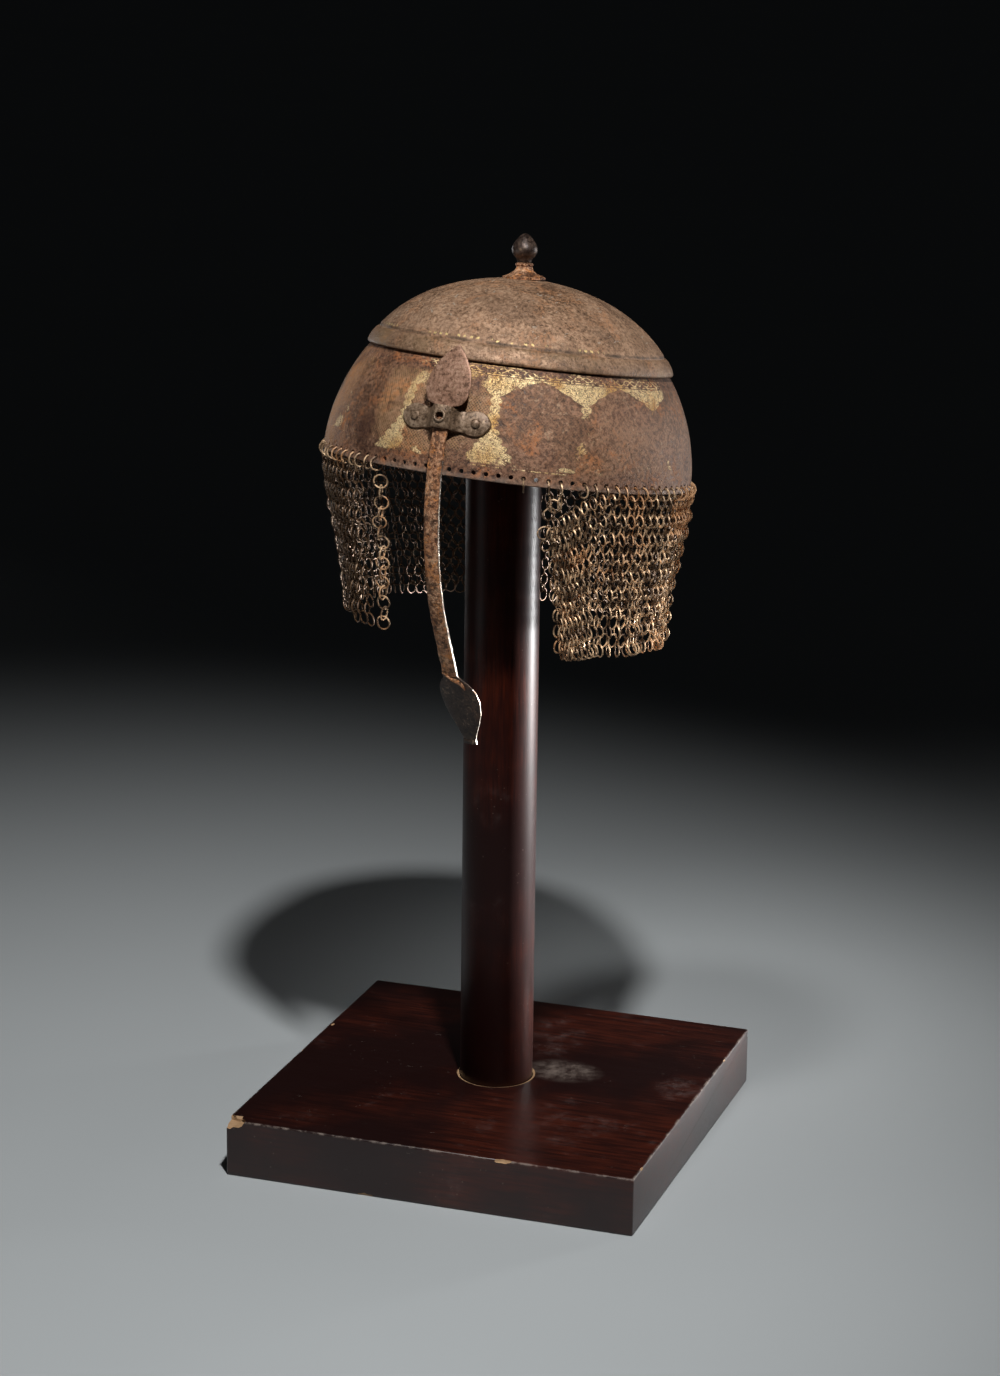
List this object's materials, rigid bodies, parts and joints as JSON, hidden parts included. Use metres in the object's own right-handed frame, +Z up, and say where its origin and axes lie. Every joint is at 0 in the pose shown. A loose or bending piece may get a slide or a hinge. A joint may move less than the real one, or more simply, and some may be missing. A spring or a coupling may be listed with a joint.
{
  "type": "kulah khud on stand",
  "caption": "Round iron helmet with a rolled crown, mail neck curtain and sliding nasal bar, on a plain wooden post stand.",
  "frame": {"origin": "bottom centre of the stand's square base", "axes": "+Z up; -Y towards the helmet's face; the base's sides lie along X and Y"},
  "size_m": [0.25, 0.25, 0.5455],
  "materials": {
    "lacquered_wood": "dark red-brown lacquer, glossy, chipped at the corners",
    "patinated_iron": "brown patinated iron with remains of gold damascening",
    "rusty_iron": "pitted rusty iron, worn bright at the edges",
    "dark_iron": "smooth dark iron",
    "bracket_iron": "grey-brown worn iron",
    "mail_wire": "brownish iron wire, rubbed bright"
  },
  "bodies": {
    "helmet_and_stand": {"stand_base": "lacquered_wood", "stand_post": "lacquered_wood", "skull_bowl": "patinated_iron", "crown_cap": "patinated_iron", "finial_socket": "rusty_iron", "finial_bud": "dark_iron", "nasal_bracket": "bracket_iron", "rivet_right": "bracket_iron", "rivet_left": "bracket_iron", "mail_curtain": "mail_wire"},
    "nasal": {"nasal_bar": "rusty_iron"}
  },
  "joints": [
    {"name": "nasal_slide", "type": "hinge", "parent": "helmet_and_stand", "child": "nasal", "pos_m": [0.02238, 0.06129, 0.40797], "axis": [-0.9869, 0.1579, 0.0336], "range_deg": [0, 38]}
  ]
}
